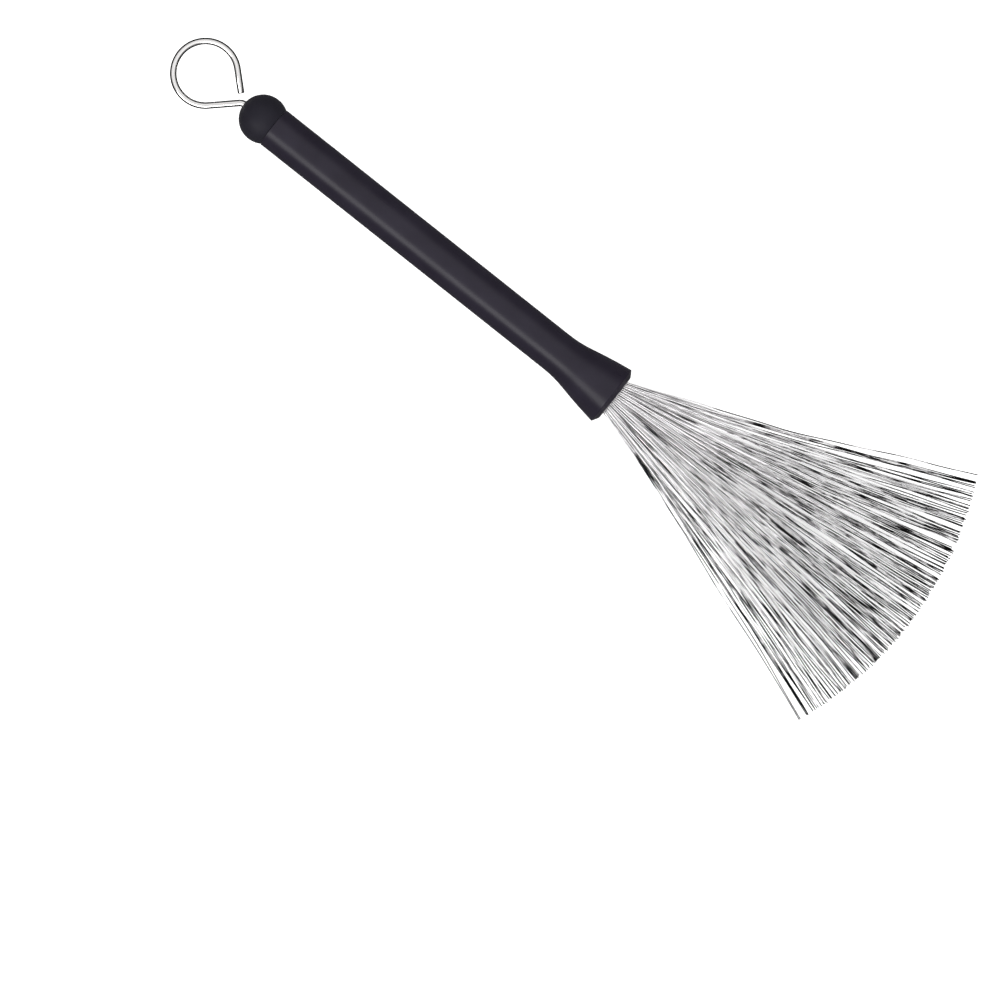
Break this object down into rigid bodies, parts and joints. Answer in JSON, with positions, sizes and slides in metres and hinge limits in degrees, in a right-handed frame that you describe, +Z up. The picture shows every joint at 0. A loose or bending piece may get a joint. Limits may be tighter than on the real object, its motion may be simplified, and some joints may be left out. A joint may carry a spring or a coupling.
{
  "type": "telescoping wire drum brush",
  "caption": "Wire drum brush with a flared rubber grip, a ball end, and a looped pull rod that draws the flat fan of steel wires into the hollow handle.",
  "frame": {"origin": "middle of the whole brush's box, drawn out, at the level of the surface that it lies on", "axes": "+X along the brush from the loop to the tips of the wires, +Z up, square to the flat fan, +Y across the fan"},
  "size_m": [0.3254, 0.1072, 0.0226],
  "materials": {
    "grip_rubber": "satin black rubber",
    "ball_rubber": "matt blue-black rubber",
    "tube_aluminium": "drawn",
    "guide_nylon": "natural nylon",
    "ring_rubber": "smooth",
    "rod_steel": "polished bright wire",
    "collar_brass": "turned",
    "ferrule_steel": "plated",
    "solder_metal": "dull solder",
    "bristle_steel": "bright drawn spring wire"
  },
  "bodies": {
    "handle": {"grip_sleeve": "grip_rubber", "handle_tube": "tube_aluminium", "ball_cap": "ball_rubber", "guide_bush": "guide_nylon"},
    "slider": {"slider_bush": "guide_nylon", "friction_ring": "ring_rubber"},
    "pull_rod": {"pull_rod": "rod_steel", "retaining_collar": "collar_brass", "ferrule": "ferrule_steel", "root_solder": "solder_metal", "bristles_01": "bristle_steel", "bristles_02": "bristle_steel", "bristles_03": "bristle_steel", "bristles_04": "bristle_steel", "bristles_05": "bristle_steel", "bristles_06": "bristle_steel", "bristles_07": "bristle_steel", "bristles_08": "bristle_steel", "bristles_09": "bristle_steel", "bristles_10": "bristle_steel", "bristles_11": "bristle_steel", "bristles_12": "bristle_steel", "bristles_13": "bristle_steel", "bristles_14": "bristle_steel", "bristles_15": "bristle_steel", "bristles_16": "bristle_steel", "bristles_17": "bristle_steel", "bristles_18": "bristle_steel", "bristles_19": "bristle_steel", "bristles_20": "bristle_steel"}
  },
  "joints": [
    {"name": "draw", "type": "slide", "parent": "handle", "child": "slider", "axis": [-1, 0, 0], "range_m": [0, 0.128], "deforming": ["bristles_01", "bristles_02", "bristles_03", "bristles_04", "bristles_05", "bristles_06", "bristles_07", "bristles_08", "bristles_09", "bristles_10", "bristles_11", "bristles_12", "bristles_13", "bristles_14", "bristles_15", "bristles_16", "bristles_17", "bristles_18", "bristles_19", "bristles_20"]},
    {"name": "rod_swivel", "type": "hinge", "parent": "slider", "child": "pull_rod", "pos_m": [0.0098, -0.00469, 0.0113], "axis": [1, 0, 0], "continuous": true}
  ]
}
